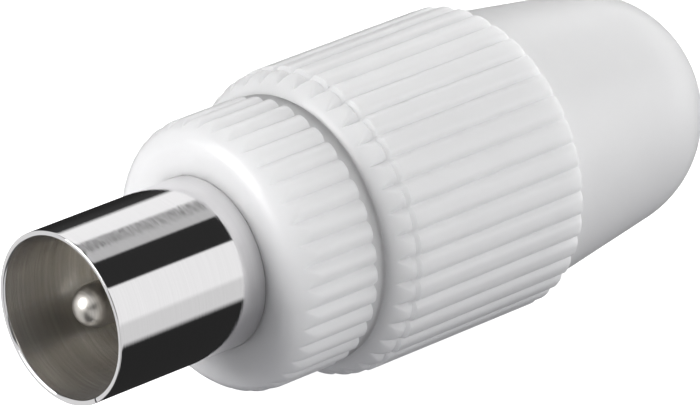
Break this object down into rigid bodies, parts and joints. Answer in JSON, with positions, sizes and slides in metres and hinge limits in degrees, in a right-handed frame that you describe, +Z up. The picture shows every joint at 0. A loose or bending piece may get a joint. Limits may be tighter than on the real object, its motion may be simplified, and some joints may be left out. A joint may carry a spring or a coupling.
{
  "type": "coaxial plug",
  "caption": "Coaxial aerial plug: rolled metal sleeve with a recessed centre pin, ribbed screw collar, and ribbed rear cap with a smooth tapered tail and a cable hole.",
  "frame": {"origin": "on the plug's axis, in the plane of the collar's front face, where the sleeve's free length ends", "axes": "-Y is the way the plug is pushed into its socket, +Y the way the cable leaves, +Z up with the plug lying on two ribs of its cap"},
  "size_m": [0.0172, 0.0436, 0.0172],
  "materials": {
    "housing": "white injection-moulded plastic, satin",
    "sleeve_sheet": "bright nickel-plated rolled sheet",
    "contact": "turned and nickel-plated",
    "screw": "zinc-plated steel",
    "insulator": "natural polyethylene"
  },
  "bodies": {
    "contacts": {"shield_sleeve": "sleeve_sheet", "insulator": "insulator", "centre_pin": "contact"},
    "collar": {"front_collar": "housing"},
    "cap": {"rear_cap": "housing"},
    "screw": {"terminal_screw": "screw"}
  },
  "joints": [
    {"name": "collar_turn", "type": "hinge", "parent": "contacts", "child": "collar", "pos_m": [0, 0.0026, 0], "axis": [0, -1, 0], "range_deg": [0, 1080]},
    {"name": "cap_slide", "type": "slide", "parent": "contacts", "child": "cap", "axis": [0, 1, 0], "range_m": [0, 0.0045]},
    {"name": "screw_turn", "type": "hinge", "parent": "contacts", "child": "screw", "pos_m": [0, 0.01237, 0], "axis": [0, 0, -1], "range_deg": [-320, 720]}
  ],
  "couplings": [
    {"joint": "collar_turn", "follows": "cap_slide", "rad_per_m": 4188.8}
  ]
}
